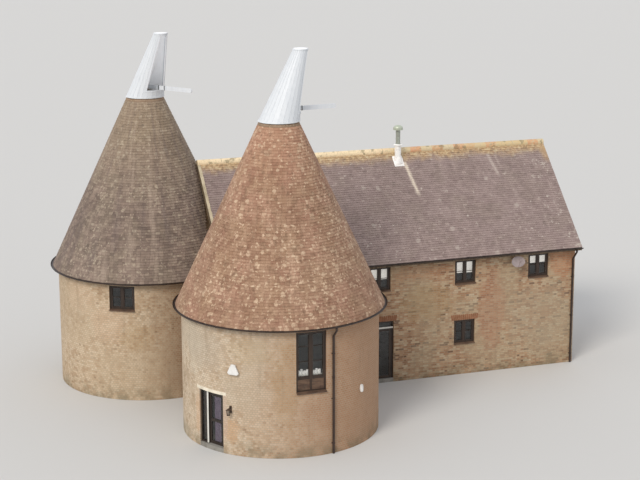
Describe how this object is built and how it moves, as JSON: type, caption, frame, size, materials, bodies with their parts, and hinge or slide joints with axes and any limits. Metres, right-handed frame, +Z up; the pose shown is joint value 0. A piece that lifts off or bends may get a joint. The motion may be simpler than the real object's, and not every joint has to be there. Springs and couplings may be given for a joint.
{
  "type": "oast house",
  "caption": "Brick oast house: a barn with a pitched tiled roof joined to round kilns under conical roofs, each with a white boarded cowl that turns.",
  "frame": {"origin": "on the ground at the middle of the barn, on the underside of its floor", "axes": "+X along the barn's ridge away from the kilns, +Y towards the back, +Z up"},
  "size_m": [19.6903, 14.5804, 13.09],
  "materials": {
    "brick_barn": "rough orange-brown brick",
    "brick_kiln_a": "rough yellow-tan brick",
    "brick_kiln_b": "rough buff brick",
    "tile_barn": "weathered clay tile",
    "tile_kiln_a": "weathered clay tile",
    "tile_kiln_b": "weathered clay tile with lichen",
    "ridge_tile": "orange clay",
    "concrete": "floated concrete",
    "floor_boards": "plain boards on joists",
    "lintel_stone": "smooth pale stone",
    "brown_goods": "matt dark brown",
    "dark_timber": "dark stained timber",
    "white_timber": "white painted boards",
    "oak": "plain sawn timber",
    "steel": "grey painted steel",
    "flue_metal": "pale grey",
    "dish_metal": "pale grey",
    "white_case": "white",
    "window_glass": "clear"
  },
  "bodies": {
    "root": {"barn_floor": "concrete", "barn_upper_floor": "floor_boards", "barn_front_wall_left": "brick_barn", "barn_front_wall_over_door": "brick_barn", "barn_front_wall_right": "brick_barn", "barn_back_wall": "brick_barn", "barn_left_gable": "brick_barn", "barn_right_gable": "brick_barn", "barn_front_roof": "tile_barn", "barn_back_roof": "tile_barn", "ridge_tiles": "ridge_tile", "gutters": "brown_goods", "downpipes": "brown_goods", "window_frames": "dark_timber", "window_glass": "window_glass", "window_sills": "dark_timber", "barn_door_frame": "dark_timber", "flue": "flue_metal", "satellite_dish": "dish_metal", "kiln_floors": "concrete", "kiln_a_wall_front": "brick_kiln_a", "kiln_a_wall_right": "brick_kiln_a", "kiln_a_wall_back": "brick_kiln_a", "kiln_a_wall_left": "brick_kiln_a", "kiln_a_roof": "tile_kiln_a", "kiln_b_wall_front": "brick_kiln_b", "kiln_b_wall_right": "brick_kiln_b", "kiln_b_wall_back": "brick_kiln_b", "kiln_b_wall_over_door": "brick_kiln_b", "kiln_b_roof": "tile_kiln_b", "kiln_b_lintel": "lintel_stone", "kiln_b_door_frame": "dark_timber", "cowl_curbs": "oak", "cowl_spindles": "steel", "wall_box": "white_case", "wall_lights": "white_case"},
    "cowl_a": {"cowl_a_shell": "white_timber", "cowl_a_bars": "oak", "cowl_a_vane": "white_timber"},
    "cowl_b": {"cowl_b_shell": "white_timber", "cowl_b_bars": "oak", "cowl_b_vane": "white_timber"},
    "kiln_door": {"kiln_door_leaf": "dark_timber", "kiln_door_glass": "window_glass"},
    "barn_door_left": {"barn_door_left_leaf": "dark_timber", "barn_door_left_glass": "window_glass"},
    "barn_door_right": {"barn_door_right_leaf": "dark_timber", "barn_door_right_glass": "window_glass"}
  },
  "joints": [
    {"name": "cowl_a_turn", "type": "hinge", "parent": "root", "child": "cowl_a", "pos_m": [-8.85, 0.9, 10.69], "axis": [0, 0, 1], "continuous": true},
    {"name": "cowl_b_turn", "type": "hinge", "parent": "root", "child": "cowl_b", "pos_m": [-5.9, -6.3, 10.69], "axis": [0, 0, 1], "continuous": true},
    {"name": "kiln_door_hinge", "type": "hinge", "parent": "root", "child": "kiln_door", "pos_m": [-8.4586, -8.2785, 1], "axis": [0, 0, -1], "range_deg": [0, 90]},
    {"name": "barn_door_left_hinge", "type": "hinge", "parent": "root", "child": "barn_door_left", "pos_m": [-1.765, -3.303, 1], "axis": [0, 0, -1], "range_deg": [0, 90]},
    {"name": "barn_door_right_hinge", "type": "hinge", "parent": "root", "child": "barn_door_right", "pos_m": [-0.595, -3.303, 1], "axis": [0, 0, 1], "range_deg": [0, 90]}
  ]
}
